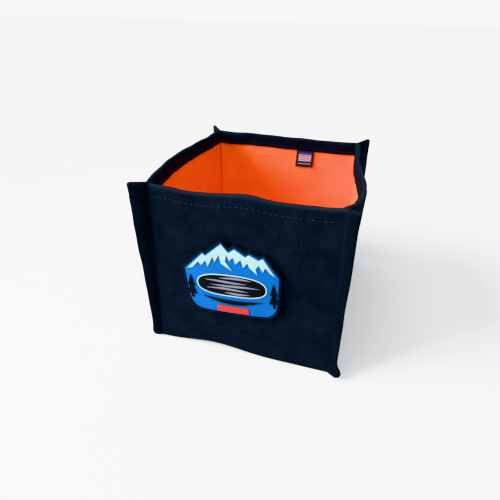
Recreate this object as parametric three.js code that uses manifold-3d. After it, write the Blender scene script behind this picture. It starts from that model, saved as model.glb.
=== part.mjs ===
// Collapsible fabric storage crate: four padded walls, a padded base that pleats up, a turned hem
// round the mouth, pinched corner seams and a moulded rubber badge on the front wall.
// Millimetres, +Z up, -Y is the front. The origin is on the floor, under the middle of the crate.
// Each side wall folds inwards at a crease down its middle, so it is a rear and a front half, and
// the base is creased across its middle in the same way.
import * as THREE from 'three';
import { mergeVertices } from 'three/addons/utils/BufferGeometryUtils.js';
import Module from 'manifold-3d';

const wasm = await Module();
wasm.setup();

// Driving dimensions
const WIDTH = 178; // across the outer faces of the side walls
const DEPTH = 178; // across the outer faces of the front and back walls
const HEIGHT = 165;
const OUTER_CLOTH = 1.0;
const FOAM = 2.4;
const LINING = 0.8;
const GAP = 0.3; // between plies, and between any two neighbouring pieces
const HEM_DEPTH = 15; // how far the turned hem reaches down the inside
const SEAM_WIDTH = 12.7; // how far a corner seam stands out along the diagonal
const SEAM_CLOTH = 3.0; // its four plies, pinched together
const SEAM_END = 18; // height at which its free edge starts to taper into the corner
const FOLD_GAP = 0.4; // from a fold line to the end of the panel that turns on it

// Where each ply starts, measured inwards from a wall's outer face
const foamStart = OUTER_CLOTH + GAP;
const liningStart = foamStart + FOAM + GAP;
const liningEnd = liningStart + LINING;
const hemStart = liningEnd + GAP;
const wallThickness = hemStart + OUTER_CLOTH;

// Lengths along the walls
const foldLine = wallThickness + FOLD_GAP / 2; // corner fold line, from both outer faces
const halfReach = DEPTH / 2 - foldLine - FOLD_GAP; // far end of a side or base half
const seamRoot = SEAM_CLOTH / Math.SQRT2; // what a corner seam takes off each wall's end
const wallReach = WIDTH / 2 - seamRoot - GAP; // half length of the front and back plies
const plyTop = HEIGHT - OUTER_CLOTH - GAP;

const material = (color, roughness) =>
  new THREE.MeshStandardMaterial({ color, roughness, metalness: 0 });
const blackCanvas = () => material(0x0d131c, 0.92);
const orangeVinyl = () => material(0xf2560c, 0.42);
const greyFoam = () => material(0x3a3d40, 0.9);
const blackHook = () => material(0x08090b, 0.95);
const blueRubber = () => material(0x0a84e0, 0.6);
const iceRubber = () => material(0xc4e9ee, 0.6);
const blackRubber = () => material(0x090c12, 0.7);
const silverRubber = () => material(0x9a9cab, 0.5);
const redRubber = () => material(0xe0483c, 0.6);
const labelWeave = () => material(0x1a2438, 0.8);

const crate = new THREE.Group();

function piece(name, geometry, finish, parent) {
  const mesh = new THREE.Mesh(geometry, finish());
  mesh.name = name;
  parent.add(mesh);
}

// A box between two corners
function slab([x0, y0, z0], [x1, y1, z1]) {
  const geometry = new THREE.BoxGeometry(x1 - x0, y1 - y0, z1 - z0);
  return geometry.translate((x0 + x1) / 2, (y0 + y1) / 2, (z0 + z1) / 2);
}

const CURVE_STEPS = 6;
const outline = (points) => new THREE.Shape(points.map(([x, y]) => new THREE.Vector2(x, y)));

function extrude(shape, depth) {
  const settings = { depth, bevelEnabled: false, curveSegments: CURVE_STEPS };
  return new THREE.ExtrudeGeometry(shape, settings);
}

// Solid geometry to a manifold, and back again
function toManifold(geometry) {
  geometry.deleteAttribute('normal').deleteAttribute('uv');
  const merged = mergeVertices(geometry, 1e-4);
  const vertProperties = merged.attributes.position.array;
  const triVerts = new Uint32Array(merged.index.array);
  return new wasm.Manifold(new wasm.Mesh({ numProp: 3, vertProperties, triVerts }));
}
function fromManifold(solid) {
  const mesh = solid.getMesh();
  const geometry = new THREE.BufferGeometry();
  geometry.setAttribute('position', new THREE.BufferAttribute(mesh.vertProperties, 3));
  geometry.setIndex(new THREE.BufferAttribute(mesh.triVerts, 1));
  return geometry;
}

// ---- Walls ----
// In a wall's own frame x runs along it, y runs inwards from its outer face and z is up.

function wallGroup(turn, distance) {
  const group = new THREE.Group();
  group.rotation.z = turn;
  group.position.set(Math.sin(turn) * distance, -Math.cos(turn) * distance, 0);
  crate.add(group);
  return group;
}

// The hem: a cap over the wall's top edge, and a band down the inside. The section is drawn in
// (y, z), and its two top corners are round.
const alongWall = new THREE.Matrix4().makeBasis(
  new THREE.Vector3(0, 1, 0), new THREE.Vector3(0, 0, 1), new THREE.Vector3(1, 0, 0));
const hemSection = new THREE.Shape();
const hemRound = OUTER_CLOTH * 0.9;
hemSection.moveTo(0, HEIGHT - OUTER_CLOTH);
hemSection.absarc(hemRound, HEIGHT - hemRound, hemRound, Math.PI, Math.PI / 2, true);
hemSection.absarc(wallThickness - hemRound, HEIGHT - hemRound, hemRound, Math.PI / 2, 0, true);
hemSection.lineTo(wallThickness, HEIGHT - HEM_DEPTH);
hemSection.lineTo(hemStart, HEIGHT - HEM_DEPTH);
hemSection.lineTo(hemStart, HEIGHT - OUTER_CLOTH);

function wallPlies(name, group, from, to) {
  const ply = (start, thickness) => slab([from, start, 0], [to, start + thickness, plyTop]);
  piece(`${name}_outer_panel`, ply(0, OUTER_CLOTH), blackCanvas, group);
  piece(`${name}_foam`, ply(foamStart, FOAM), greyFoam, group);
  piece(`${name}_lining`, ply(liningStart, LINING), orangeVinyl, group);
  const hem = extrude(hemSection, to - from).applyMatrix4(alongWall).translate(from, 0, 0);
  piece(`${name}_hem`, hem, blackCanvas, group);
}

const front = wallGroup(0, DEPTH / 2);
const back = wallGroup(Math.PI, DEPTH / 2);
wallPlies('front', front, -wallReach, wallReach);
wallPlies('back', back, -wallReach, wallReach);

// A right wall's +x points to the back, and a left wall's to the front
for (const [side, turn, towardBack] of [['right', Math.PI / 2, 1], ['left', -Math.PI / 2, -1]]) {
  const wall = wallGroup(turn, WIDTH / 2);
  for (const [end, sign] of [['rear', towardBack], ['front', -towardBack]]) {
    const [from, to] = [sign * FOLD_GAP, sign * halfReach].sort((a, b) => a - b);
    wallPlies(`${side}_${end}`, wall, from, to);
  }
}

// ---- Corner seams ----
// A post closes the end of the front or back wall, and the pinched seam allowance stands out from
// it along the diagonal. Both are drawn at the front left corner, then mirrored to the others.

function cornerSeam(mirrorX, mirrorY) {
  const post = slab([0, 0, 0], [seamRoot, wallThickness - GAP, HEIGHT]);
  // Drawn in (distance outwards along the diagonal, height)
  const fin = extrude(outline([
    [-SEAM_CLOTH / 2, 0], [0, 0], [SEAM_WIDTH, SEAM_END], [SEAM_WIDTH, HEIGHT],
    [-SEAM_CLOTH / 2, HEIGHT],
  ]), SEAM_CLOTH);
  const outwards = new THREE.Vector3(-1, -1, 0).normalize();
  const up = new THREE.Vector3(0, 0, 1);
  const across = outwards.clone().cross(up);
  fin.translate(0, 0, -SEAM_CLOTH / 2);
  fin.applyMatrix4(new THREE.Matrix4().makeBasis(outwards, up, across));
  const solid = toManifold(post).add(toManifold(fin)).translate([-WIDTH / 2, -DEPTH / 2, 0]);
  const normals = [mirrorX && [1, 0, 0], mirrorY && [0, 1, 0]].filter(Boolean);
  return fromManifold(normals.reduce((mirrored, normal) => mirrored.mirror(normal), solid));
}
for (const [depthName, mirrorY] of [['front', false], ['back', true]]) {
  for (const [sideName, mirrorX] of [['left', false], ['right', true]]) {
    const name = `${depthName}_${sideName}_corner_seam`;
    piece(name, cornerSeam(mirrorX, mirrorY), blackCanvas, crate);
  }
}

// ---- Base ----

const baseReachX = WIDTH / 2 - hemStart;
for (const [end, sign] of [['rear', 1], ['front', -1]]) {
  const [y0, y1] = [sign * FOLD_GAP, sign * halfReach].sort((a, b) => a - b);
  const ply = (z, thickness) => slab([-baseReachX, y0, z], [baseReachX, y1, z + thickness]);
  piece(`base_${end}_outer_panel`, ply(0, OUTER_CLOTH), blackCanvas, crate);
  piece(`base_${end}_foam`, ply(foamStart, FOAM), greyFoam, crate);
  piece(`base_${end}_lining`, ply(liningStart, LINING), orangeVinyl, crate);
}

// ---- Woven label ----
// Folded in two, caught under the back hem and hanging over the lining.

const LABEL_WIDTH = 21;
const LABEL_DROP = 20;
const LABEL_CLOTH = 0.9;
const LABEL_CENTRE = -25; // along the back wall
const labelTop = HEIGHT - HEM_DEPTH - GAP;
const label = slab(
  [LABEL_CENTRE - LABEL_WIDTH / 2, hemStart, labelTop - LABEL_DROP],
  [LABEL_CENTRE + LABEL_WIDTH / 2, hemStart + LABEL_CLOTH, labelTop]);
piece('woven_label', label, labelWeave, back);

// ---- Badge ----
// Moulded soft rubber on a hook-and-loop pad. Its art is drawn round its own centre, with x to the
// right and y up.

const BADGE_CENTRE = [-6, 84]; // on the front wall
const BADGE_TILT = THREE.MathUtils.degToRad(3.5);
const HOOK = 0.6;
const BADGE_BODY = 1.8;
const FIELD = 0.4;
const ART = 0.4;
const BORDER = 2; // how much of the body shows round the blue field
const BADGE_HALF_WIDTH = 46;
const BADGE_BOTTOM = -38.5;
const BADGE_CORNER = 13;

const SKYLINE = [
  [-26, 28], [-23.5, 25.5], [-7, 39], [-0.5, 31], [5.5, 35],
  [15.5, 28.5], [19, 31], [28, 26.5], [32, 29],
];
const SHOULDER = 8; // height at which the skyline meets the sides

// The skyline drawn lower by inset, from left to right
const skyline = (inset) => SKYLINE.map(([x, y]) => [x * (1 - inset / 60), y - inset * 1.25]);

function badgeOutline(inset) {
  const x = BADGE_HALF_WIDTH - inset;
  const bottom = BADGE_BOTTOM + inset;
  const corner = BADGE_CORNER - inset / 2;
  const lean = 3.5; // the sides draw in towards the bottom
  const shape = outline([[-x, SHOULDER - inset / 2], ...skyline(inset), [x, SHOULDER - inset / 2]]);
  shape.lineTo(x - lean / 2, bottom + corner + 6);
  shape.quadraticCurveTo(x - lean, bottom + 1.5, x - lean - corner, bottom + 0.8);
  shape.quadraticCurveTo(0, bottom - 0.8, -x + lean + corner, bottom + 0.8);
  shape.quadraticCurveTo(-x + lean, bottom + 1.5, -x + lean / 2, bottom + corner + 6);
  return shape;
}

// Stands the art on the front wall: x stays, y becomes up, and thickness grows forwards
const facingFront = new THREE.Matrix4().makeBasis(
  new THREE.Vector3(1, 0, 0), new THREE.Vector3(0, 0, 1), new THREE.Vector3(0, -1, 0));
const badge = new THREE.Group();
badge.position.set(BADGE_CENTRE[0], -DEPTH / 2, BADGE_CENTRE[1]);
badge.rotation.y = -BADGE_TILT;
crate.add(badge);

function badgeLayer(name, shape, start, thickness, finish) {
  const layer = extrude(shape, thickness).translate(0, 0, start).applyMatrix4(facingFront);
  piece(`badge_${name}`, layer, finish, badge);
}

const hookStart = GAP + HOOK + GAP;
const bodyStart = hookStart + HOOK + GAP;
const fieldStart = bodyStart + BADGE_BODY + GAP;
const artStart = fieldStart + FIELD + GAP;
badgeLayer('loop_panel', badgeOutline(5), GAP, HOOK, blackHook);
badgeLayer('hook_backing', badgeOutline(2.5), hookStart, HOOK, blackHook);
badgeLayer('body', badgeOutline(0), bodyStart, BADGE_BODY, blackRubber);
badgeLayer('blue_field', badgeOutline(BORDER), fieldStart, FIELD, blueRubber);

const motif = (name, shape, finish) => badgeLayer(name, shape, artStart, ART, finish);

// Snow lies along the skyline and runs down the gullies, its lower edge drawn from right to left
const snowEdge = [
  [36, 12], [32.5, 17], [30, 12], [26.5, 18.5], [23.5, 14], [25, 8.5], [18, 15], [16.5, 19.5],
  [12.5, 14], [10.5, 22], [5.5, 16.5], [3.5, 23.5], [0, 19.5], [-2.5, 25.5], [-4, 18.5],
  [2, 9.5], [-8, 16], [-9.5, 24.5], [-14, 16.5], [-15.5, 22], [-21, 11], [-22.5, 17.5],
  [-27, 12], [-30, 15.5], [-36, 8.5],
];
const snowTop = skyline(BORDER + 1);
motif('snow', outline([[-41, 7.5], ...snowTop, [41, 8.5], ...snowEdge]), iceRubber);

// Lake: a dark panel with round ends inside a pale shore, and silver ripples lying in it
const LAKE_CENTRE = -6.5;
const LAKE_HALF = [33, 11.5];
const SHORE = 1.1;
const LAKE_STEPS = 40;
const bend = (value, power) => Math.sign(value) * Math.abs(value) ** power;
function lakePoints(inset) {
  const [x, y] = LAKE_HALF.map((half) => half - inset);
  return Array.from({ length: LAKE_STEPS }, (_, i) => {
    const turn = ((i + 0.5) / LAKE_STEPS) * 2 * Math.PI;
    return [x * bend(Math.cos(turn), 0.7), LAKE_CENTRE + y * bend(Math.sin(turn), 0.8)];
  });
}
// Each ripple's middle and half length. It is a long wave with pointed ends.
const RIPPLES = [
  [4, 1.2, 17], [-5, -2.7, 22], [3, -6.6, 26], [-4, -10.5, 22], [5, -14.2, 14],
];
const RIPPLE_HALF = 1.45;
const RIPPLE_STEPS = 12;
function ripplePoints([x, y, reach], inset) {
  const half = RIPPLE_HALF - inset;
  const end = reach - inset * 4;
  const edge = (share, sign) => {
    const wave = 0.45 * Math.sin(share * 2.6 + y);
    return [x + share * end, y + wave + sign * half * (1 - share ** 2)];
  };
  const shares = Array.from({ length: RIPPLE_STEPS }, (_, i) => (2 * i) / RIPPLE_STEPS - 1);
  return [...shares.map((t) => edge(t, 1)), ...shares.map((t) => edge(-t, -1))];
}
const hole = (points) => new THREE.Path(outline(points).getPoints());
const shore = outline(lakePoints(0));
shore.holes.push(hole(lakePoints(SHORE)));
motif('lake_rim', shore, iceRubber);
const lake = outline(lakePoints(SHORE + GAP));
lake.holes.push(...RIPPLES.map((wave) => hole(ripplePoints(wave, 0))));
motif('lake', lake, blackRubber);
RIPPLES.forEach((wave, i) => {
  motif(`ripple_${i + 1}`, outline(ripplePoints(wave, GAP)), silverRubber);
});

// A pine on each shore, in two tiers
function pine(name, centre) {
  const right = [[1.2, -24], [1.2, -20], [4.6, -20], [1.8, -11], [3.8, -11], [0.1, 1]];
  const left = right.map(([x, y]) => [-x, y]).reverse();
  motif(name, outline([...right, ...left].map(([x, y]) => [centre + x, y])), blackRubber);
}
pine('left_pine', -39);
pine('right_pine', 39);

const canoe = outline([[-29, -19.8]]);
canoe.quadraticCurveTo(0, -24.5, 29, -19.8);
canoe.quadraticCurveTo(0, -34, -29, -19.8);
motif('canoe', canoe, blackRubber);

motif('red_bar', outline([[-15, -35.5], [15, -35.5], [15, -29], [-15, -29]]), redRubber);

export default crate;
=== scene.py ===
"""The looks of the collapsible fabric crate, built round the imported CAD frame.

Shapes are worked out in millimetres, in the frame of the CAD part, and scaled to metres as each
mesh is made. The walls are one ring of cloth in eight pieces: four wall panels and four corners.
Every cloth is drawn on a crate with flat sides, and warp() then gives it the soft shape, so that
neighbouring pieces stay joined.
"""

import math

import bmesh
import bpy
import numpy as np
from mathutils import Matrix, Vector, noise


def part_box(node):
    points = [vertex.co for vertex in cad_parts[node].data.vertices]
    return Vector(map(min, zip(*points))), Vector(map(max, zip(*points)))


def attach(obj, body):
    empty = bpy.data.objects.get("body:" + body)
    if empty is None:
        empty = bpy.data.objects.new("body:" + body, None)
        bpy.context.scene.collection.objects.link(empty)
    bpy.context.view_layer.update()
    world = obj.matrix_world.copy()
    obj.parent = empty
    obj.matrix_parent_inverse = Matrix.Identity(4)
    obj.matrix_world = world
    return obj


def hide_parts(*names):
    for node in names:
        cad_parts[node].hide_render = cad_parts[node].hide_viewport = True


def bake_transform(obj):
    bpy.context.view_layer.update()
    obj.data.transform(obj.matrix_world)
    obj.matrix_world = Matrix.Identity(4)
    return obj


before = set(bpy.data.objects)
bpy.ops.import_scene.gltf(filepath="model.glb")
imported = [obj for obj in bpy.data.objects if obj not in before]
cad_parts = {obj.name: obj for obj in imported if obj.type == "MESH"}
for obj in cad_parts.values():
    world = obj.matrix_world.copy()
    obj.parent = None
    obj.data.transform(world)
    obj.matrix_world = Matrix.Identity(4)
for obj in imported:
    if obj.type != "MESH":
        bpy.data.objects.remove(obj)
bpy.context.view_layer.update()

MM = 0.001
CM = 10.0  # in mm. Cloth coordinates are in cm, along the cloth and up it
ROOT2 = math.sqrt(2)


# ---- Sizes, from the CAD nodes ----

def box_mm(node):
    low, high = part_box(node)
    return np.array(low) / MM, np.array(high) / MM


def depth_range(node):
    """How far a front wall ply starts and ends from the wall's outer face."""
    low, high = box_mm(node)
    return low[1] + HALF, high[1] + HALF


HALF = -box_mm("front_outer_panel")[0][1]
CLOTH = np.diff(depth_range("front_outer_panel"))[0]
LINING_START, LINING_END = depth_range("front_lining")
WALL = depth_range("front_hem")[1]
HEM_BOTTOM, HEIGHT = box_mm("front_hem")[0][2], box_mm("front_hem")[1][2]
PINCH = 1.5  # half the thickness of a corner flange
REACH = (-box_mm("front_left_corner_seam")[0][0] - HALF) * ROOT2 - PINCH  # how far it stands out

VALLEY = 4.0  # radius where a wall turns out into a flange
FOOT = 2.5  # radius of the wall's bottom edge
CORNER = 3.5  # radius of the crate's corners, below the flanges
ROLL = 2.9  # radius of the rim
FILLET = 1.2  # radius of the inside corners of the hem

# How each corner's flange differs: how much of its reach it has lost at the floor, how far its
# rounded foot stands out again, how deep the cloth sinks in beside it (mm), and how dark the
# painted shade makes the cloth at its root and beyond.
TAPER = {"front_right": 0.62, "back_right": 0.5, "back_left": 0.55, "front_left": 0.62}
EAR = {"front_right": 0.22, "back_right": 0.08, "back_left": 0.2, "front_left": 0.04}
DIP = {"front_right": -0.4, "back_right": 1.2, "back_left": 1.2, "front_left": 2.0}
ROOT_PAINTED_SHADE = {"front_right": 0.1, "back_right": 0.6, "back_left": 0.6, "front_left": 1.0}
TIP_PAINTED_SHADE = {"front_right": 0.75, "back_right": 0.1, "back_left": 0.1, "front_left": 0.0}
EAR_ROUND = 7.5  # height of the rounding at a flange's foot
EAR_HEIGHT, EAR_WIDTH = 7.0, 7.5  # the ear's middle and size
EAR_PUFF = 2.8  # how much the front right ear swells. The others swell less, by their EAR
PAINTED_SHADE_WIDTH = 4.6  # how far the painted shade at a flange's root spreads along the wall
PAINTED_HIGHLIGHT = 0.8  # painted highlight: how much paler the rim and the flanges' edges are, as a negative painted shade
EDGE_HIGHLIGHT_WIDTH, RIM_HIGHLIGHT_WIDTH = 1.1, 2.2  # widths of the painted highlight on the flanges' edges and the rim
LAP_AT, LAP_STEP, LAP_RUN = 49.5, 0.9, 1.3  # the band inside the back hem laps over its own end
STITCH_HEIGHT = HEM_BOTTOM + 4
STITCH_PRESS, STITCH_GROOVE = 0.3, 0.9  # how deep and wide a row of stitches presses the cloth
CORNER_PART = (9.0, 12.0)  # how much of each wall is in the corner pieces: front or back, side

WALLS = ("front", "right", "back", "left")
CORNERS = ("front_right", "back_right", "back_left", "front_left")


def smooth(value, low, high):
    """0 up to low, 1 from high on, and a smooth step between."""
    t = np.clip((np.asarray(value, float) - low) / (high - low), 0, 1)
    return t * t * (3 - 2 * t)


def bell(value, centre, width):
    """1 at the centre, falling to a third at that distance from it."""
    return np.exp(-(((value - centre) / width) ** 2))


# ---- The soft shape, with distances in mm ----

WALL_ZONE = (76, 84)  # a point this far from the middle starts to belong to a wall, or fully does
WIDE_ZONE, RIM_ZONE, FRONT_ZONE = (40, 84), (20, 84), (45, 84)  # the same, but fading slower

# How far each side wall bows outwards at the rim, where, and its width before and behind that
LEFT_BOW, RIGHT_BOW = (9.6, -8, 62, 62), (12.3, -45, 45, 62)
BOW_ENDS = (70, 88)  # the bow fades out towards a wall's ends
CROWN = 1.6  # how full the front and the back are at mid height
RIM_DIP = {"front": 3.0, "side": 1.5, "back": 1.2}
FRONT_RIM_WAVES = ((2.6, 6, 17), (-1.4, -52, 22))  # height, place along the rim and width
TIP_RISE = 2.6  # how far the tips of the flanges stand up

LIFT, LIFT_AT, LIFT_WIDTH = 5.2, -24, 34  # the front's bottom edge, lifted off the floor
LIFT_FADE = (10, 60)  # heights between which the lift fades out
FOOT_OUT, FOOT_IN = 6.5, 4.5  # how far the front's foot stands forward, and its left end inward
FOOT_IN_FADE, FOOT_TOP = (-95, -10), 80  # that fades towards the right, and both upwards

# Slack in the cloth, as (height, size of its features, seed)
BROAD_SLACK, FINE_SLACK = (0.9, 42.0, 3.7), (0.35, 17.0, 9.1)
HEM_SLACK, HEM_WAVES = (0.55, 9.0, 5.3), (0.9, 24.0, 7.7)
LEAST_SLACK, SLACK_FULL = 0.35, 40  # its share at the floor, and the height where it is whole


def ripple(points, height, size, seed):
    """Smooth noise of that height at each point, in features of about that size."""
    return height * np.array([noise.noise(Vector(p)) for p in points / size + seed])


def bow(y, height, place, before, behind):
    """How far a side wall bows outwards at each place along the rim."""
    return height * bell(y, place, np.where(y < place, before, behind))


def warp(points):
    """Moves points from the flat-sided crate to the soft one."""
    shape = points.shape
    points = np.array(points, float).reshape(-1, 3)
    moved = points.copy()
    x, y, z = points.T
    rise = np.clip(z / HEIGHT, 0, 1.02)
    top = rise**3
    wide_x = smooth(np.abs(x), *WIDE_ZONE)
    wide_y = smooth(np.abs(y), *WIDE_ZONE)

    # The side walls bow outwards at the rim
    side_bow = np.where(x < 0, bow(y, *LEFT_BOW), bow(y, *RIGHT_BOW))
    ends = 1 - smooth(np.abs(y), *BOW_ENDS)
    moved[:, 0] += np.sign(x) * wide_x * side_bow * ends * rise**1.3

    # Front and back are a little full at mid height
    crown = np.clip(1 - (x / HALF) ** 2, 0, 1) * 4 * rise * np.clip(1 - rise, 0, 1)
    moved[:, 1] += np.sign(y) * wide_y * CROWN * crown

    # The rim dips between the corners
    between_x = np.clip(1 - (x / HALF) ** 4, 0, 1)
    between_y = np.clip(1 - (y / HALF) ** 4, 0, 1)
    front_rim = -RIM_DIP["front"] * between_x
    for height, place, width in FRONT_RIM_WAVES:
        front_rim = front_rim + height * bell(x, place, width)
    moved[:, 2] += top * smooth(-y, *RIM_ZONE) * front_rim
    moved[:, 2] -= top * smooth(y, *RIM_ZONE) * RIM_DIP["back"] * between_x
    moved[:, 2] -= top * wide_x * RIM_DIP["side"] * between_y

    # The front's bottom edge lifts off the floor, and its foot stands forward
    front = smooth(-y, *FRONT_ZONE)
    foot = front * (1 - smooth(z, 0, FOOT_TOP))
    moved[:, 2] += front * (1 - smooth(z, *LIFT_FADE)) * LIFT * bell(x, LIFT_AT, LIFT_WIDTH)
    moved[:, 1] -= foot * FOOT_OUT
    moved[:, 0] += foot * FOOT_IN * (1 - smooth(x, *FOOT_IN_FADE))

    # The tips of the flanges stand up a little
    past = np.clip((np.abs(x) + np.abs(y) - 2 * HALF) / (REACH * ROOT2), 0, 1)
    moved[:, 2] += TIP_RISE * top * past

    # Slack in the cloth, with upright puckers along the hem
    hem = smooth(z, HEM_BOTTOM - 6, HEM_BOTTOM + 3)
    slack = ripple(points, *BROAD_SLACK) + ripple(points, *FINE_SLACK)
    slack += hem * ripple(points * np.array([1, 1, 0.5]), *HEM_SLACK)
    slack *= LEAST_SLACK + (1 - LEAST_SLACK) * smooth(z, 0, SLACK_FULL)
    moved[:, 0] += np.sign(x) * smooth(np.abs(x), *WALL_ZONE) * slack
    moved[:, 1] += np.sign(y) * smooth(np.abs(y), *WALL_ZONE) * slack
    moved[:, 2] += hem * ripple(points * np.array([1, 1, 0]), *HEM_WAVES)
    return moved.reshape(shape)


# ---- Meshes ----

def add_object(name, data):
    """Links a new object with that data to the scene."""
    obj = bpy.data.objects.new(name, data)
    bpy.context.scene.collection.objects.link(obj)
    return obj


def make_object(name, vertices, faces, uv, sharp=40, fold=None):
    """A piece from points in mm. uv and the painted shade (painted highlight where negative) have
    one row per vertex, and edges that turn by more than sharp degrees are shaded sharp."""
    mesh = bpy.data.meshes.new(name)
    mesh.from_pydata((np.asarray(vertices) * MM).tolist(), [], faces)
    layer = mesh.uv_layers.new(name="cloth")
    corners = np.zeros(len(mesh.loops), np.int32)
    mesh.loops.foreach_get("vertex_index", corners)
    layer.data.foreach_set("uv", np.asarray(uv, np.float32)[corners].ravel())
    if fold is not None:
        depth = mesh.attributes.new("fold", "FLOAT", "POINT")
        depth.data.foreach_set("value", np.asarray(fold, np.float32))
    mesh.shade_smooth()
    mesh.set_sharp_from_angle(angle=math.radians(sharp))
    return add_object(name, mesh)


def shell(name, near, far, uv, sharp=40, fold=None):
    """A closed shell between two grids of points (rows, columns, 3). near faces outwards."""
    rows, cols = near.shape[:2]
    front = np.arange(rows * cols).reshape(rows, cols)
    back = front + rows * cols
    sides = [
        (front[:-1, :-1], front[:-1, 1:], front[1:, 1:], front[1:, :-1]),
        (back[1:, :-1], back[1:, 1:], back[:-1, 1:], back[:-1, :-1]),
        (front[:-1, 0], front[1:, 0], back[1:, 0], back[:-1, 0]),
        (front[1:, -1], front[:-1, -1], back[:-1, -1], back[1:, -1]),
        (front[0, 1:], front[0, :-1], back[0, :-1], back[0, 1:]),
        (front[-1, :-1], front[-1, 1:], back[-1, 1:], back[-1, :-1]),
    ]
    faces = np.concatenate([np.stack(quad, -1).reshape(-1, 4) for quad in sides]).tolist()
    vertices = np.concatenate([near.reshape(-1, 3), far.reshape(-1, 3)])
    uv = uv.reshape(-1, 2)
    if fold is not None:
        fold = np.tile(fold.ravel(), 2)
    return make_object(name, vertices, faces, np.concatenate([uv, uv]), sharp, fold)


def turned(points, quarter):
    """Turns points in plan by that many quarter turns, from the front wall towards the right."""
    c, s = ((1, 0), (0, 1), (-1, 0), (0, -1))[quarter % 4]
    x, y = points[..., 0], points[..., 1]
    return np.stack([c * x - s * y, s * x + c * y], -1)


# ---- Plan of the ring ----
# A section is a list of stations round the ring, in plan. At each one the outer face of the cloth
# has a place at a flange's full height and one below the flanges, and so does its inward normal.

def fan(centre, radius, start, end, count):
    """Points on an arc between two angles in degrees, and their outward normals."""
    turns = np.radians(np.linspace(start, end, count))
    direction = np.stack([np.cos(turns), np.sin(turns)], -1)
    return np.array(centre) + radius * direction, direction


def running_length(points):
    """How far along a line of points each one is."""
    steps = np.linalg.norm(np.diff(points, axis=0), axis=1)
    return np.concatenate([[0], np.cumsum(steps)])


def corner_half(start, corner):
    """From a wall to the tip of its flange, as distances from the corner along the two walls."""
    root = ROOT2 * PINCH + (ROOT2 - 1) * VALLEY
    flat = np.linspace(start, root, 7)[:-1]
    n_flat = len(flat)
    valley, valley_n = fan((root, -VALLEY), VALLEY, 90, 135, 6)
    centre = -(REACH - PINCH) / ROOT2
    tip, tip_n = fan((centre, centre), PINCH, -45, -135, 5)
    straight = np.linspace(valley[-1], tip[0], 7)[1:-1]
    full = np.concatenate([np.stack([flat, 0 * flat], -1), valley, straight, tip])
    normal = np.concatenate([
        np.tile([0, 1], (n_flat, 1)), valley_n,
        np.tile(np.array([-1, 1]) / ROOT2, (len(straight), 1)), -tip_n,
    ])
    length = running_length(full)
    share = (length[n_flat:] - length[n_flat]) / (length[-1] - length[n_flat])

    def rounded(offset, radius):
        """The same stations on a plain rounded corner, and its outward normals."""
        flat_part = np.linspace(start, offset + radius, n_flat + 1)[:-1]
        turns = np.radians(-90 - 45 * share)
        out = np.stack([np.cos(turns), np.sin(turns)], -1)
        arc = offset + radius + radius * out
        points = np.concatenate([np.stack([flat_part, 0 * flat_part + offset], -1), arc])
        return points, np.concatenate([np.tile([0, -1], (n_flat, 1)), out])

    # The cloth sinks in beside the flange, where the padding stops
    sunk = DIP[corner] * bell(length, length[n_flat] + 1.0, 2.6)
    full = full + sunk[:, None] * np.array([0.3, 0.95])
    low, low_out = rounded(0, CORNER)
    inner, inner_out = rounded(WALL, FILLET)

    # Painted shade: darkest at the root, and darker or clear along the flange
    root_at = length[n_flat] + 1.5
    root_fold = np.where(length < root_at, bell(length, root_at, PAINTED_SHADE_WIDTH),
                         1 - smooth(length, root_at + 2, root_at + 9))
    tip_fold = smooth(length, root_at + 1, root_at + 6)
    fold = ROOT_PAINTED_SHADE[corner] * root_fold + TIP_PAINTED_SHADE[corner] * tip_fold
    # A painted highlight along the flange's edge
    fold -= PAINTED_HIGHLIGHT * bell(length, length[-1], EDGE_HIGHLIGHT_WIDTH)
    return [full, normal, low, -low_out, inner, inner_out], length, fold


def corner_section(index, corner):
    """The corner after that wall, with each station's distance along the cloth and its painted
    shade and highlight.
    """
    first, length_1, fold_1 = corner_half(CORNER_PART[index % 2], corner)
    second, length_2, fold_2 = corner_half(CORNER_PART[(index + 1) % 2], corner)
    parts = []
    for kind, (one, two) in enumerate(zip(first, second)):
        both = np.concatenate([one, two[::-1, ::-1][1:]])
        is_point = kind in (0, 2, 4)
        corner_at = np.array([HALF, -HALF]) if is_point else 0
        parts.append(turned(corner_at + both * np.array([-1, 1]), index))
    along = np.concatenate([length_1, length_1[-1] + (length_2[-1] - length_2[::-1][1:])])
    return parts, along, np.concatenate([fold_1, fold_2[::-1][1:]])


def wall_section(index, along):
    """A section's stations on that wall, at distances along it from its middle."""
    def at(depth):
        return turned(np.stack([along, 0 * along - HALF + depth], -1), index)

    inward = np.tile(turned(np.array([0.0, 1.0]), index), (len(along), 1))
    return [at(0), inward, at(0), inward, at(WALL), -inward]


# ---- Profile of the outer cloth ----

def cloth_profile():
    """Rows from under the wall, up its face, over the rim and down inside. Each row has: 0 if it
    is measured from the outer face or 1 from the inner one, how far in it is, its height, and
    the direction in which the cloth's thickness goes, inwards and up."""
    rows = [(0, 5.0, 0.0, 0, 1), (0, 3.8, 0.0, 0, 1)]
    for turn in np.radians(np.linspace(0, 90, 7)):
        s, c = math.sin(turn), math.cos(turn)
        rows.append((0, FOOT * (1 - s), FOOT * (1 - c), s, c))
    heights = [*np.arange(3.4, 22, 1.3), *np.arange(24.5, HEM_BOTTOM - 2, 3.5)]
    heights += [HEM_BOTTOM, *np.arange(HEM_BOTTOM + 1.5, HEIGHT - ROLL - 0.5, 0.9)]
    rows += [(0, 0.0, z, 1, 0) for z in heights]
    quarter = np.radians(np.linspace(0, 90, 7))
    for side, turns in ((0, quarter), (1, quarter[::-1])):
        for turn in turns:
            s, c = math.sin(turn), math.cos(turn)
            rows.append((side, ROLL * (1 - c), HEIGHT - ROLL + ROLL * s, c, -s))
    rows += [(1, 0.0, z, 1, 0) for z in np.arange(HEIGHT - ROLL - 1.2, HEM_BOTTOM + 0.7, -0.9)]
    rows += [(1, 0.1, HEM_BOTTOM + 0.3, 0.95, 0.3), (1, 0.45, HEM_BOTTOM, 0.6, 0.8)]
    return np.array(rows, float)


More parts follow.
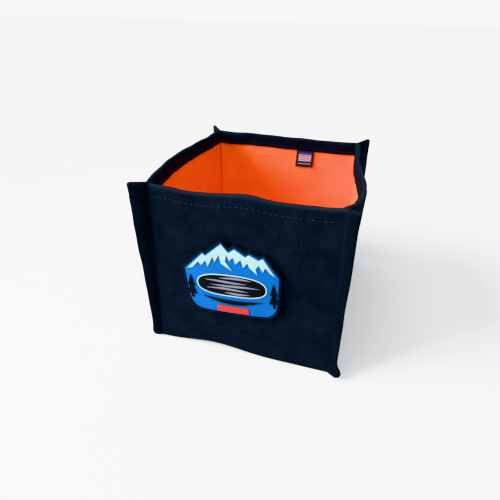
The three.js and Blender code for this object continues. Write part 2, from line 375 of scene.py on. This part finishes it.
PROFILE = cloth_profile()
PROFILE_DEPTH = np.where(PROFILE[:, 0] == 0, PROFILE[:, 1], WALL - PROFILE[:, 1])
PROFILE_LENGTH = running_length(np.stack([PROFILE_DEPTH, PROFILE[:, 2]], -1))
RIM_AT = PROFILE_LENGTH[np.argmax(PROFILE[:, 2])]
# A painted highlight along the top of the rim
RIM_HIGHLIGHT = PAINTED_HIGHLIGHT * bell(PROFILE_LENGTH, RIM_AT - 1, RIM_HIGHLIGHT_WIDTH)


def unit(vectors):
    return vectors / np.linalg.norm(vectors, axis=-1, keepdims=True)


def flange_share(z, corner):
    """How far out a flange stands at each height, from 0 to 1. Its foot is a rounded ear."""
    below = 1 - np.clip(z / EAR_ROUND, 0, 1)
    taper = 1 - TAPER[corner] * np.clip(1 - z / HEIGHT, 0, 1)
    return np.sqrt(1 - below**2) * (taper + EAR[corner] * bell(z, EAR_HEIGHT, EAR_WIDTH))


def outer_cloth(name, section, along, corner=None, fold=None, lap=None):
    """The profile swept round a section. lap is how far the hem's band stands out at each
    station, and the painted shade given per station goes on the flanges, painted highlight where
    negative."""
    full, full_n, low, low_n, inner, inner_out = section
    side, dist, z, thick_in, thick_up = (PROFILE[:, i][:, None, None] for i in range(5))
    share = flange_share(z, corner) if corner else 0 * z
    outer = low + (full - low) * share
    normal = unit(low_n + (full_n - low_n) * share)
    across = inner[None] - outer
    length = np.linalg.norm(across, axis=-1, keepdims=True)
    into = across / length
    inside = side == 1
    start = np.where(inside, inner[None], outer)
    inward = np.where(inside, inner_out[None], normal)
    pressed = STITCH_PRESS * bell(z, STITCH_HEIGHT, STITCH_GROOVE)
    if corner:
        out = np.linalg.norm(full - low, axis=-1, keepdims=True)
        puff = EAR_PUFF * EAR[corner] / EAR["front_right"] * bell(z, EAR_HEIGHT, EAR_WIDTH - 2)
        pressed = pressed - np.where(inside, 0, puff * smooth(out, 1, 6))
    if lap is not None:
        pressed = pressed - np.where(inside, lap[:, None] * smooth(HEIGHT - z, 0, ROLL), 0)
    near = start + np.where(inside, -into, into) * dist + inward * pressed
    far = near + inward * thick_in * CLOTH
    height = np.broadcast_to(z, near.shape[:2] + (1,))
    far_height = height + thick_up * CLOTH
    v = PROFILE_LENGTH[:, None] + np.where(inside, length - WALL, 0)[..., 0]
    uv = np.stack([np.broadcast_to(along, v.shape), v], -1) / CM
    near = warp(np.concatenate([near, height], -1))
    far = warp(np.concatenate([far, far_height], -1))
    # Painted shade on the flanges' outer faces, less the painted highlight along the rim
    fold = 0 if fold is None else fold * (np.sqrt(share) * (1 - inside))[..., 0]
    fold = np.broadcast_to(fold - RIM_HIGHLIGHT[:, None], v.shape)
    return shell(name, near, far, uv, fold=fold)


# ---- Lining ----

SEAM_RADIUS = 0.6  # radius at which the lining turns into a corner seam
GROOVE = 2.4  # how deep the corner seams sink in
SEAM_PAINTED_SHADE = 0.8  # half the width of the painted shade line in them


def lining_half(start):
    """From a wall into the lining's corner seam, as (points, outward normals)."""
    centre = LINING_END + SEAM_RADIUS
    flat = np.linspace(start, centre, 6)[:-1]
    arc, out = fan((centre, centre), SEAM_RADIUS, -90, -135, 6)
    sink = GROOVE * smooth(np.linspace(0, 1, len(arc)), 0, 1)
    arc = arc - sink[:, None] / ROOT2
    points = np.concatenate([np.stack([flat, 0 * flat + LINING_END], -1), arc])
    return points, np.concatenate([np.tile([0, -1], (len(flat), 1)), out])


def lining_corner(index):
    """The lining's corner after that wall: places, normals, distances and painted shade."""
    first = lining_half(CORNER_PART[index % 2])
    second = lining_half(CORNER_PART[(index + 1) % 2])
    points, out = (np.concatenate([a, b[::-1, ::-1][1:]]) for a, b in zip(first, second))
    place = turned(np.stack([HALF - points[:, 0], points[:, 1] - HALF], -1), index)
    outward = turned(np.stack([-out[:, 0], out[:, 1]], -1), index)
    along = running_length(place)
    # Painted shade down the middle of the corner seam
    return place, outward, along, bell(along, along[len(first[0]) - 1], SEAM_PAINTED_SHADE)


def lining_wall(index, along):
    """The lining of that wall: places and outward normals."""
    place = turned(np.stack([along, 0 * along - HALF + LINING_END], -1), index)
    outward = np.tile(turned(np.array([0.0, -1.0]), index), (len(along), 1))
    return place, outward


def lining(name, place, outward, along, fold=None):
    """A lining panel. Its near face looks into the crate."""
    rows = np.linspace(HEM_BOTTOM + 2, LINING_START, 48)
    thickness = LINING_END - LINING_START

    def grid(points):
        flat = np.broadcast_to(points, (len(rows),) + points.shape)
        height = np.broadcast_to(rows[:, None, None], flat.shape[:2] + (1,))
        return warp(np.concatenate([flat, height], -1))

    uv = np.stack(np.broadcast_arrays(along[None], rows[:, None]), -1) / CM
    if fold is not None:
        fold = np.broadcast_to(fold, uv.shape[:2])
    return shell(name, grid(place), grid(place + outward * thickness), uv, fold=fold)


# ---- Materials ----

WAVE_PITCH = math.tau / 20  # between the ridges of a wave texture at scale 1


class Graph:
    """A node material with one Principled shader."""

    def __init__(self, name, **shader):
        self.material = bpy.data.materials.new(name)
        self.material.use_nodes = True
        self.tree = self.material.node_tree
        self.shader = self.tree.nodes["Principled BSDF"]
        self.set(self.shader, shader)

    def set(self, node, values):
        for key, value in values.items():
            socket = node.inputs[key if isinstance(key, int) else key.replace("_", " ")]
            if isinstance(value, bpy.types.NodeSocket):
                self.tree.links.new(value, socket)
            else:
                socket.default_value = value

    def add(self, kind, values=None, **settings):
        node = self.tree.nodes.new("ShaderNode" + kind)
        for key, value in settings.items():
            setattr(node, key, value)
        self.set(node, values or {})
        return node

    def math(self, operation, a, b=0.0, c=0.0):
        node = self.add("Math", {0: a, 1: b, 2: c}, operation=operation)
        return node.outputs[0]

    def cloth_uv(self, turn=0.0):
        """The cloth coordinates in cm, turned by that many degrees."""
        uv = self.add("UVMap", uv_map="cloth").outputs[0]
        rotation = (0, 0, math.radians(turn))
        return self.add("Mapping", {"Vector": uv, "Rotation": rotation}).outputs[0]

    def waves(self, vector, pitch_mm, distortion=0.0, detail_scale=1.0):
        """Ridges across x, at that pitch in cloth coordinates."""
        return self.add("TexWave", {
            "Vector": vector, "Scale": WAVE_PITCH / (pitch_mm / CM),
            "Distortion": distortion, "Detail": 1.0, "Detail_Scale": detail_scale,
        }).outputs["Fac"]

    def noise(self, vector, size_mm, detail=2.0):
        """Noise with features of about that size, in cloth coordinates."""
        return self.add("TexNoise", {
            "Vector": vector, "Scale": CM / size_mm, "Detail": detail, "Roughness": 0.6,
        }).outputs["Fac"]

    def ramp(self, factor, *stops, interpolation="LINEAR"):
        """A colour from stops of (position, colour)."""
        node = self.add("ValToRGB", {"Fac": factor})
        node.color_ramp.interpolation = interpolation
        elements = node.color_ramp.elements
        while len(elements) < len(stops):
            elements.new(0.99)
        for element, (position, colour) in zip(elements, stops):
            element.position = position
            element.color = (*colour, 1)
        return node.outputs[0]

    def fold(self):
        """The painted light on the cloth: painted shade where it is positive, painted highlight
        where negative.
        """
        return self.add("Attribute", attribute_name="fold").outputs["Fac"]

    def mix(self, factor, a, b, blend="MIX"):
        """Colour a with that much of colour b."""
        node = self.add("Mix", {0: factor, 6: a, 7: b}, data_type="RGBA", blend_type=blend)
        return node.outputs[2]

    def bump(self, height, depth_mm, strength=1.0, after=None):
        """A normal. after is one that it is added to."""
        values = {"Height": height, "Distance": depth_mm * MM, "Strength": strength}
        if after is not None:
            values["Normal"] = after
        return self.add("Bump", values).outputs[0]

    def finish(self, **links):
        self.set(self.shader, links)
        return self.material


def grey(value):
    return (value, value, value)


def canvas():
    """Near-black cotton twill: slanting ribs broken into floats, uneven dye, pale lint, with
    painted shade and painted highlight.
    """
    g = Graph("black_canvas", Roughness=0.8, Sheen_Weight=0.01, Sheen_Roughness=0.35,
              Sheen_Tint=(0.5, 0.7, 1.0, 1), Specular_IOR_Level=0.03)
    flat = g.cloth_uv()
    ribs = g.waves(g.cloth_uv(45), pitch_mm=1.6, distortion=0.8, detail_scale=3.0)
    floats = g.waves(g.cloth_uv(-63), pitch_mm=2.0, distortion=1.5, detail_scale=4.0)
    fuzz = g.noise(flat, size_mm=0.35, detail=3)
    grain = g.noise(flat, size_mm=1.3, detail=2)
    clouds = g.noise(flat, size_mm=22, detail=3)
    weave = g.math("MULTIPLY_ADD", floats, 0.6, ribs)
    height = g.math("MULTIPLY_ADD", fuzz, 0.4, weave)
    tone = g.math("MULTIPLY_ADD", clouds, 0.53, g.math("MULTIPLY", weave, 0.31))
    tone = g.math("MULTIPLY_ADD", grain, 0.7, tone)
    colour = g.ramp(tone, (0.5, (0.0024, 0.003, 0.0046)), (0.84, (0.0072, 0.009, 0.0148)),
                    (1.0, (0.017, 0.0235, 0.034)))
    # Painted shade at the flanges' roots, and on the front right flange's outer band
    fold = g.fold()
    colour = g.mix(g.math("MULTIPLY", fold, 0.85), colour, (0.002, 0.003, 0.005, 1))
    # Painted highlight on the rim and the flanges' edges, broken up by the fuzz
    painted_highlight = g.math("MULTIPLY", g.math("MULTIPLY", fold, -1.0), g.math("MULTIPLY", fuzz, 1.2))
    colour = g.mix(painted_highlight, colour, (0.03, 0.045, 0.065, 1))
    lint = g.ramp(g.noise(flat, size_mm=1.2, detail=2), (0.72, grey(0)), (0.77, grey(1)))
    colour = g.mix(g.math("MULTIPLY", lint, 0.3), colour, (0.1, 0.14, 0.18, 1))
    broad = g.bump(g.noise(flat, size_mm=9, detail=2), depth_mm=0.5, strength=0.5)
    normal = g.bump(height, depth_mm=0.3, strength=0.9, after=broad)
    return g.finish(Base_Color=colour, Normal=normal)


def orange_lining():
    """Coated cloth: the base weave shows through a satin coat as fine slanting ribs."""
    g = Graph("orange_lining", Specular_IOR_Level=0.45, Coat_Weight=0.12, Coat_Roughness=0.35,
              Sheen_Weight=0.04)
    flat = g.cloth_uv()
    ribs = g.waves(g.cloth_uv(40), pitch_mm=2.1, distortion=1.0, detail_scale=2.0)
    cross = g.waves(g.cloth_uv(-50), pitch_mm=1.3, distortion=1.4, detail_scale=2.0)
    clouds = g.noise(flat, size_mm=22, detail=3)
    grain = g.noise(flat, size_mm=0.8, detail=3)
    tone = g.math("MULTIPLY_ADD", clouds, 0.5, g.math("MULTIPLY", grain, 0.2))
    tone = g.math("MULTIPLY_ADD", ribs, 0.3, tone)
    colour = g.ramp(tone, (0.25, (0.82, 0.124, 0.008)), (0.75, (0.97, 0.225, 0.018)))
    # Painted shade in the corner seams
    colour = g.mix(g.math("MULTIPLY", g.fold(), 0.9), colour, (0.05, 0.006, 0.001, 1))
    height = g.math("MULTIPLY_ADD", cross, 0.45, ribs)
    height = g.math("MULTIPLY_ADD", grain, 0.5, height)
    broad = g.bump(clouds, depth_mm=1.4, strength=0.4)
    normal = g.bump(height, depth_mm=0.14, strength=0.6, after=broad)
    rough = g.math("MULTIPLY_ADD", grain, 0.16, 0.34)
    return g.finish(Base_Color=colour, Roughness=rough, Normal=normal)


def foam_stiffener():
    """Grey foam with open cells."""
    g = Graph("foam_stiffener", Roughness=0.95)
    where = g.add("TexCoord").outputs["Object"]
    cells = g.add("TexVoronoi", {"Vector": where, "Scale": 900}).outputs["Distance"]
    colour = g.ramp(cells, (0.0, grey(0.03)), (0.7, grey(0.06)))
    return g.finish(Base_Color=colour, Normal=g.bump(cells, depth_mm=0.3, strength=0.7))


def rubber(name, dark, light, roughness, metallic=0.0, speck=0.25):
    """Moulded soft PVC, with a faint grain. speck is how much of its tone is the grain."""
    g = Graph(name, Metallic=metallic, Specular_IOR_Level=0.15)
    where = g.add("TexCoord").outputs["Object"]
    grain = g.add("TexNoise", {"Vector": where, "Scale": 2600, "Detail": 2}).outputs["Fac"]
    clouds = g.add("TexNoise", {"Vector": where, "Scale": 60, "Detail": 3}).outputs["Fac"]
    tone = g.math("MULTIPLY_ADD", grain, speck, g.math("MULTIPLY", clouds, 1 - speck))
    colour = g.ramp(tone, (0.3, dark), (0.7, light))
    rough = g.math("MULTIPLY_ADD", clouds, 0.16, roughness - 0.08)
    normal = g.bump(grain, depth_mm=0.05, strength=0.5)
    return g.finish(Base_Color=colour, Roughness=rough, Normal=normal)


def hook_and_loop():
    """Black tape with a pile of small loops."""
    g = Graph("hook_and_loop", Roughness=0.95, Sheen_Weight=0.4, Sheen_Roughness=0.5)
    where = g.add("TexCoord").outputs["Object"]
    loops = g.add("TexVoronoi", {"Vector": where, "Scale": 1400}).outputs["Distance"]
    colour = g.ramp(loops, (0.1, grey(0.012)), (0.8, grey(0.003)))
    return g.finish(Base_Color=colour, Normal=g.bump(loops, depth_mm=0.5, strength=0.9))


def thread():
    """Twisted dark thread, a little paler than the canvas."""
    g = Graph("black_thread", Roughness=0.6, Sheen_Weight=0.03, Specular_IOR_Level=0.12)
    twist = g.waves(g.cloth_uv(35), pitch_mm=0.5)
    colour = g.ramp(twist, (0.1, (0.016, 0.021, 0.028)), (0.9, (0.05, 0.066, 0.082)))
    return g.finish(Base_Color=colour, Normal=g.bump(twist, depth_mm=0.08, strength=0.8))


def label_weave():
    """A woven tab: black edge, blue head, lilac and rose stripes, a pale line at the foot."""
    g = Graph("label_weave", Roughness=0.7, Sheen_Weight=0.3, Sheen_Roughness=0.4)
    uv = g.add("UVMap", uv_map="cloth").outputs[0]
    split = g.add("SeparateXYZ", {0: uv})
    u, v = split.outputs[0], split.outputs[1]
    black, blue = (0.006, 0.007, 0.012), (0.03, 0.06, 0.28)
    lilac, rose = (0.5, 0.44, 0.6), (0.5, 0.08, 0.12)
    stripes = [(0.36 + 0.06 * i, (lilac, rose)[i % 2]) for i in range(7)]
    face = g.ramp(v, (0.0, black), *stripes, (0.76, blue), (0.9, black),
                  interpolation="CONSTANT")
    inside = g.math("MULTIPLY", g.math("GREATER_THAN", u, 0.13), g.math("LESS_THAN", u, 0.87))
    colour = g.mix(inside, (*black, 1), face)
    line = g.math("MULTIPLY", g.math("GREATER_THAN", v, 0.18), g.math("LESS_THAN", v, 0.23))
    colour = g.mix(g.math("MULTIPLY", line, inside), colour, (0.3, 0.34, 0.42, 1))
    threads = g.add("TexWave", {"Vector": uv, "Scale": 14, "Distortion": 0.5},
                    bands_direction="Y").outputs["Fac"]
    shade = g.ramp(threads, (0.0, grey(0.72)), (1.0, grey(1.0)))
    colour = g.mix(1.0, colour, shade, "MULTIPLY")
    return g.finish(Base_Color=colour, Normal=g.bump(threads, depth_mm=0.12, strength=0.7))


MATERIALS = {
    "black_canvas": canvas(),
    "orange_lining": orange_lining(),
    "foam_stiffener": foam_stiffener(),
    "hook_and_loop": hook_and_loop(),
    "badge_border": rubber("badge_border", (0.002, 0.004, 0.009), (0.006, 0.012, 0.022), 0.42),
    "badge_black": rubber("badge_black", (0.001, 0.002, 0.004), (0.003, 0.005, 0.009), 0.45),
    "badge_blue": rubber("badge_blue", (0.003, 0.1, 0.36), (0.005, 0.13, 0.44), 0.42),
    "badge_ice": rubber("badge_ice", (0.3, 0.46, 0.48), (0.42, 0.6, 0.61), 0.42),
    "badge_silver": rubber("badge_silver", (0.13, 0.13, 0.17), (0.34, 0.34, 0.41), 0.36,
                           metallic=0.5, speck=0.6),
    "badge_red": rubber("badge_red", (0.46, 0.036, 0.022), (0.6, 0.055, 0.03), 0.42),
    "label_weave": label_weave(),
}
THREAD = thread()


def settle(obj, slot, *nodes, material=None):
    """Gives a piece the material of that slot, or the one given, and hides the CAD nodes it
    stands for.
    """
    obj.data.materials.clear()
    obj.data.materials.append(material or MATERIALS[slot])
    if nodes:
        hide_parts(*nodes)
    return obj


# ---- Where each piece goes ----

CREASE = 8.0  # half of the zone in which the cloth of a side wall or the base turns
COLUMN_SPACING, CREASE_COLUMNS = 2.5, 25


def blend_corner(obj):
    """Bakes a corner piece's placement into its mesh; it is not bent between its walls."""
    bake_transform(obj)


def blend_crease(obj):
    """Bakes a piece's placement into its mesh; it is not bent at the crease of a side wall or the
    base.
    """
    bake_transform(obj)


def place_wall(obj, wall):
    """Front and back panels ride on their wall. Side panels get their placement baked in."""
    if wall in ("front", "back"):
        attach(obj, f"{wall}_wall")
    else:
        blend_crease(obj)


def nodes_of(wall, *plies):
    """The CAD nodes of those plies of a wall."""
    parts = [wall] if wall in ("front", "back") else [f"{wall}_rear", f"{wall}_front"]
    return [f"{part}_{ply}" for part in parts for ply in plies]


def columns(index):
    """Distances along a wall, closer together at a side wall's crease."""
    reach = HALF - CORNER_PART[index % 2]
    even = np.linspace(-reach, reach, round(2 * reach / COLUMN_SPACING) + 1)
    if index % 2 == 0:
        return even
    bend = np.linspace(-CREASE - 1, CREASE + 1, CREASE_COLUMNS)
    keep = even[np.abs(even) > bend[-1] + 0.5]
    return np.sort(np.concatenate([keep, bend]))


# ---- Build: outer cloth and lining ----

travelled = 0.0
for index, (wall, corner) in enumerate(zip(WALLS, CORNERS)):
    along = columns(index)
    run = travelled + along - along[0]
    lap = LAP_STEP * smooth(along, LAP_AT - LAP_RUN, LAP_AT + LAP_RUN) if wall == "back" else None
    panel = outer_cloth(f"{wall}_cloth", wall_section(index, along), run, lap=lap)
    settle(panel, "black_canvas", *nodes_of(wall, "outer_panel", "hem"))
    place_wall(panel, wall)

    place, outward = lining_wall(index, along)
    inner = lining(f"{wall}_inner_lining", place, outward, run)
    settle(inner, "orange_lining", *nodes_of(wall, "lining"))
    place_wall(inner, wall)
    travelled = run[-1]

    section, along, fold = corner_section(index, corner)
    flange = outer_cloth(f"{corner}_flange_cloth", section, travelled + along, corner, fold)
    settle(flange, "black_canvas", f"{corner}_corner_seam")
    blend_corner(flange)

    place, outward, seam_along, fold = lining_corner(index)
    seam = lining(f"{corner}_lining_seam", place, outward, travelled + seam_along, fold)
    settle(seam, "orange_lining")
    blend_corner(seam)
    travelled += along[-1]


# ---- Build: foam and base ----

FOAM_STEPS, BASE_STEPS = (24, 24), (48, 111)
FOAM_FLOOR = 1.5  # the height of a wall foam's lower edge
BASE_GAP = 0.3  # between the base's cloths and the lining of the walls
BASE_FOAM_INSET = 4.0  # of the base's foam, from the sides


def slab(name, low, high, steps):
    """A warped thin slab between two corners, flat in the axis in which they are closest."""
    low, high = np.array(low, float), np.array(high, float)
    thin = int(np.argmin(high - low))
    one, two = [axis for axis in range(3) if axis != thin]
    a = np.linspace(low[one], high[one], steps[0])
    b = np.linspace(low[two], high[two], steps[1])
    grid = np.zeros((len(b), len(a), 3))
    grid[..., one], grid[..., two] = a[None], b[:, None]
    near, far = grid.copy(), grid.copy()
    # near has to be the face that looks along the outward side of (one, two)
    outward_high = (one, two) != (0, 2)
    near[..., thin] = high[thin] if outward_high else low[thin]
    far[..., thin] = low[thin] if outward_high else high[thin]
    return shell(name, warp(near), warp(far), grid[..., [one, two]] / CM)


def foam_sheet(part, body, low, high):
    """A foam stiffener, which ends where the cloth of a crease starts to turn."""
    if low[1] > 0:
        low[1] = max(low[1], CREASE)
    elif -CREASE < high[1] < 0:
        high[1] = -CREASE
    foam = slab(f"{part}_foam_sheet", low, high, FOAM_STEPS)
    settle(foam, "foam_stiffener", f"{part}_foam")
    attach(foam, body)


for part in ("front", "back", "left_rear", "left_front", "right_rear", "right_front"):
    low, high = box_mm(f"{part}_foam")
    low[2], high[2] = FOAM_FLOOR, HEIGHT - ROLL
    # Kept out of the corners, where the cloth has no room for it
    for axis, reach in ((0, HALF - CORNER_PART[0]), (1, HALF - CORNER_PART[1] + 2)):
        if high[axis] - low[axis] > 10:
            low[axis], high[axis] = max(low[axis], -reach), min(high[axis], reach)
    foam_sheet(part, part if "_" in part else f"{part}_wall", low, high)

for ply, slot in (("outer_panel", "black_canvas"), ("lining", "orange_lining")):
    low, high = box_mm(f"base_rear_{ply}")
    edge = HALF - LINING_END - BASE_GAP
    low[:2], high[:2] = -edge, edge
    sheet = slab(f"base_{ply}_cloth", low, high, BASE_STEPS)
    settle(sheet, slot, f"base_rear_{ply}", f"base_front_{ply}")
    blend_crease(sheet)

for part in ("base_rear", "base_front"):
    low, high = box_mm(f"{part}_foam")
    low[0] += BASE_FOAM_INSET
    high[0] -= BASE_FOAM_INSET
    foam_sheet(part, part, low, high)


# ---- Build: stitches ----

STITCH_PITCH = 5.0
STITCH_LENGTH = 3.1
STITCH_RADIUS = 0.3
STITCH_SUNK = 0.18  # how far inside the cloth's face its middle line is
STITCH_DROP = 0.16  # how far its ends go down


def stitch_shape():
    """One stitch along x: a capsule, with its underside towards -z."""
    rings, sides = 7, 8
    turns = np.linspace(0, math.tau, sides, endpoint=False)
    points = []
    for t in np.linspace(-1, 1, rings):
        radius = STITCH_RADIUS * math.sqrt(max(1 - abs(t) ** 3, 0.02))
        x = np.full(sides, t * STITCH_LENGTH / 2)
        z = radius * np.sin(turns) - STITCH_DROP * t * t
        points.append(np.stack([x, radius * np.cos(turns), z], -1))
    faces = []
    for ring in range(rings - 1):
        for i in range(sides):
            a, b = ring * sides + i, ring * sides + (i + 1) % sides
            faces.append([a, b, b + sides, a + sides])
    last = (rings - 1) * sides
    faces.append(list(range(sides - 1, -1, -1)))
    faces.append(list(range(last, last + sides)))
    return np.concatenate(points), faces


def stitch_row(name, places, alongs, ups):
    """Stitches at places, each along its own direction, standing up from the cloth."""
    shape, faces = stitch_shape()
    points, all_faces = [], []
    for place, along, up in zip(places, alongs, ups):
        offset = len(points) * len(shape)
        turn = np.stack([along, np.cross(up, along), up])
        points.append(place + shape @ turn)
        all_faces += [[i + offset for i in face] for face in faces]
    uv = np.tile(shape[:, :2], (len(places), 1)) / CM
    return make_object(name, warp(np.concatenate(points)), all_faces, uv, sharp=80)


def hem_stitches(index, wall):
    """The stitches of a wall's hem, outside and inside."""
    reach = HALF - CORNER_PART[index % 2] + 1
    count = int(2 * reach / STITCH_PITCH)
    at = (np.arange(count) - (count - 1) / 2) * STITCH_PITCH
    along = turned(np.array([1.0, 0.0]), index)
    places, ups = [], []
    for depth, outward in ((STITCH_SUNK, -1.0), (WALL - STITCH_SUNK, 1.0)):
        flat = turned(np.stack([at, 0 * at - HALF + depth], -1), index)
        places += [(*place, STITCH_HEIGHT) for place in flat]
        ups += [(*turned(np.array([0.0, outward]), index), 0.0)] * count
    alongs = [(*along, 0.0)] * len(places)
    return stitch_row(f"{wall}_hem_stitches", np.array(places), alongs, ups)


for index, wall in enumerate(WALLS):
    row = settle(hem_stitches(index, wall), "black_canvas", material=THREAD)
    place_wall(row, wall)


# ---- Build: label ----

TAB_THICKNESS, TAB_GAP = 0.75, 0.05  # and its gap to the wall at its top


def woven_tab():
    """The label: curled a little, askew, and thinner at its hanging end."""
    low, high = box_mm("woven_label")
    a = np.linspace(low[0], high[0], 15)
    b = np.linspace(low[2], high[2] + 0.4, 17)
    share_a = np.linspace(-1, 1, len(a))[None]
    share_b = np.linspace(1, 0, len(b))[:, None]  # 1 at the hanging end
    x = np.broadcast_to(a[None], (len(b), len(a))) - 0.9 * share_b
    z = np.broadcast_to(b[:, None], x.shape) + 0.5 * share_a * share_b
    lean = 1.5 * share_b**2 + 0.5 * share_a**2 * share_b - 0.35 * share_a * share_b
    y_back = high[1] - TAB_GAP - lean
    taper = np.clip(1 - share_b**8 * 0.5, 0.3, 1)
    near = np.stack([x, y_back - TAB_THICKNESS * taper, z], -1)
    far = np.stack([x, y_back + 0 * x, z], -1)
    u, v = (share_a + 1) / 2, 1 - share_b
    uv = np.stack(np.broadcast_arrays(u, v), -1)
    return shell("woven_tab", warp(near), warp(far), uv, sharp=60)


tab = settle(woven_tab(), "label_weave", "woven_label")
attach(tab, "back_wall")


# ---- Build: badge ----

RIM_BREADTH, RIM_SLOPE = 1.35, 0.2  # the raised border's top, and its slope down to the middle


def badge_piece(node, slot, bevel, lean, rim=0.0):
    """A copy of a CAD badge layer, with softened edges. lean is (slope, offset in mm), by which
    it follows the wall behind it. rim adds a raised border."""
    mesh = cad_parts[node].data.copy()
    obj = add_object(node + "_moulded", mesh)
    bm = bmesh.new()
    bm.from_mesh(mesh)
    bmesh.ops.remove_doubles(bm, verts=bm.verts, dist=1e-6)
    bmesh.ops.dissolve_limit(bm, angle_limit=math.radians(1), verts=bm.verts, edges=bm.edges)
    if rim:
        bm.faces.ensure_lookup_table()
        front = max(bm.faces, key=lambda f: -f.normal.y * f.calc_area())
        bmesh.ops.translate(bm, verts=front.verts[:], vec=(0, -rim * MM, 0))
        bmesh.ops.inset_region(bm, faces=[front], thickness=RIM_BREADTH * MM,
                               use_even_offset=True)
        bmesh.ops.inset_region(bm, faces=[front], thickness=RIM_SLOPE * MM, depth=-rim * MM,
                               use_even_offset=True)
    sharp = [e for e in bm.edges if e.calc_face_angle(0) > math.radians(35)]
    bmesh.ops.bevel(bm, geom=sharp, offset=bevel * MM, segments=3, profile=0.6,
                    affect="EDGES", clamp_overlap=True)
    slope, offset = lean
    for vert in bm.verts:
        vert.co.y += slope * vert.co.z + offset * MM
    bmesh.ops.triangulate(bm, faces=[f for f in bm.faces if len(f.verts) > 4])
    bm.to_mesh(mesh)
    bm.free()
    mesh.shade_smooth()
    mesh.set_sharp_from_angle(angle=math.radians(50))
    settle(obj, slot, node)
    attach(obj, "front_wall")


def badge_lean():
    """The straight line that comes nearest to the soft wall behind the badge."""
    low, high = box_mm("badge_loop_panel")
    heights = np.linspace(low[2], high[2], 9)
    middle = (low[0] + high[0]) / 2
    behind = np.array([(middle, -HALF, height) for height in heights])
    return np.polyfit(heights, (warp(behind) - behind)[:, 1], 1)


LEAN = badge_lean()
for layer, slot, bevel, rim in (
    ("loop_panel", "hook_and_loop", 0.1, 0),
    ("hook_backing", "hook_and_loop", 0.1, 0),
    ("body", "badge_border", 0.35, 1.2),
    ("blue_field", "badge_blue", 0.12, 0),
    ("snow", "badge_ice", 0.14, 0),
    ("lake_rim", "badge_ice", 0.14, 0),
    ("lake", "badge_black", 0.1, 0),
    *((f"ripple_{i}", "badge_silver", 0.18, 0) for i in range(1, 6)),
    ("left_pine", "badge_black", 0.14, 0),
    ("right_pine", "badge_black", 0.14, 0),
    ("canoe", "badge_black", 0.14, 0),
    ("red_bar", "badge_red", 0.16, 0),
):
    badge_piece(f"badge_{layer}", slot, bevel, LEAN, rim)


# ---- Floor, light, camera ----

def floor():
    """A plain pale floor, out of sight at its edges."""
    size = 12.0
    mesh = bpy.data.meshes.new("floor")
    corners = [(-size, -size, 0), (size, -size, 0), (size, size, 0), (-size, size, 0)]
    mesh.from_pydata(corners, [], [(0, 1, 2, 3)])
    g = Graph("floor", Roughness=0.9, Specular_IOR_Level=0.1, Emission_Color=(1, 1, 1, 1),
              Emission_Strength=0.42)
    paper = g.add("TexNoise", {"Vector": g.add("TexCoord").outputs["Object"], "Scale": 8})
    colour = g.ramp(paper.outputs["Fac"], (0.3, grey(0.52)), (0.7, grey(0.54)))
    mesh.materials.append(g.finish(Base_Color=colour))
    add_object("floor", mesh)


def add_light(name, kind, out, energy, colour, **settings):
    """A light that shines against the direction out."""
    light = bpy.data.lights.new(name, kind)
    light.energy = energy
    light.color = colour
    for key, value in settings.items():
        setattr(light, key, value)
    obj = add_object(name, light)
    obj.rotation_euler = Vector(out).to_track_quat("Z", "Y").to_euler()
    return obj


def area_light(name, place, size, watts, colour):
    """A soft light at a place in metres, aimed at the middle of the crate."""
    out = Vector(place) - Vector((0, 0, 0.08))
    add_light(name, "AREA", out, watts, colour, shape="DISK", size=size).location = place


def studio_world():
    """A pale surround: white where it is seen, dimmer where it lights the object."""
    world = bpy.data.worlds.new("studio")
    world.use_nodes = True
    tree = world.node_tree
    background = tree.nodes["Background"]
    background.inputs["Color"].default_value = (0.93, 0.96, 1.0, 1)
    background.inputs["Strength"].default_value = 0.62
    seen = tree.nodes.new("ShaderNodeBackground")
    seen.inputs["Color"].default_value = (1, 1, 1, 1)
    seen.inputs["Strength"].default_value = 1.4
    path = tree.nodes.new("ShaderNodeLightPath")
    mix = tree.nodes.new("ShaderNodeMixShader")
    tree.links.new(path.outputs["Is Camera Ray"], mix.inputs[0])
    tree.links.new(background.outputs[0], mix.inputs[1])
    tree.links.new(seen.outputs[0], mix.inputs[2])
    tree.links.new(mix.outputs[0], tree.nodes["World Output"].inputs["Surface"])
    bpy.context.scene.world = world


CAMERA_PLACE = (97.5, -366.3, 303.2)
CAMERA_YAW, CAMERA_PITCH, CAMERA_ROLL = -14.74, 23.31, 1.10  # right, down, its right side up
CAMERA_LENS, CAMERA_SENSOR = 28.6272, 36.0


def camera():
    """The camera is turned and pitched like the photographer's, with a shift for the framing."""
    data = bpy.data.cameras.new("camera")
    data.sensor_width = CAMERA_SENSOR
    data.lens = CAMERA_LENS
    data.shift_x, data.shift_y = -0.036, -0.136
    data.clip_start, data.clip_end = 0.01, 60
    yaw, pitch, roll = (math.radians(a) for a in (CAMERA_YAW, CAMERA_PITCH, CAMERA_ROLL))
    ahead = Vector((math.sin(yaw) * math.cos(pitch), math.cos(yaw) * math.cos(pitch),
                    -math.sin(pitch)))
    level = Vector((math.cos(yaw), -math.sin(yaw), 0))
    above = level.cross(ahead)
    right = level * math.cos(roll) + above * math.sin(roll)
    up = above * math.cos(roll) - level * math.sin(roll)
    axes = Matrix((right, up, -ahead)).transposed().to_4x4()
    obj = add_object("camera", data)
    obj.matrix_world = Matrix.Translation(Vector(CAMERA_PLACE) * MM) @ axes
    bpy.context.scene.camera = obj


floor()
studio_world()
add_light("key", "SUN", (-0.8, -0.33, 0.5), 5.3, (1.0, 0.97, 0.94), angle=math.radians(30))
area_light("near_fill", (-0.42, -0.4, 0.3), 0.25, 1.6, (0.92, 0.96, 1.0))
area_light("inside_fill", (-0.02, -0.2, 0.6), 0.3, 1.4, (1.0, 0.98, 0.95))
camera()
bpy.context.scene.view_settings.view_transform = "Khronos PBR Neutral"
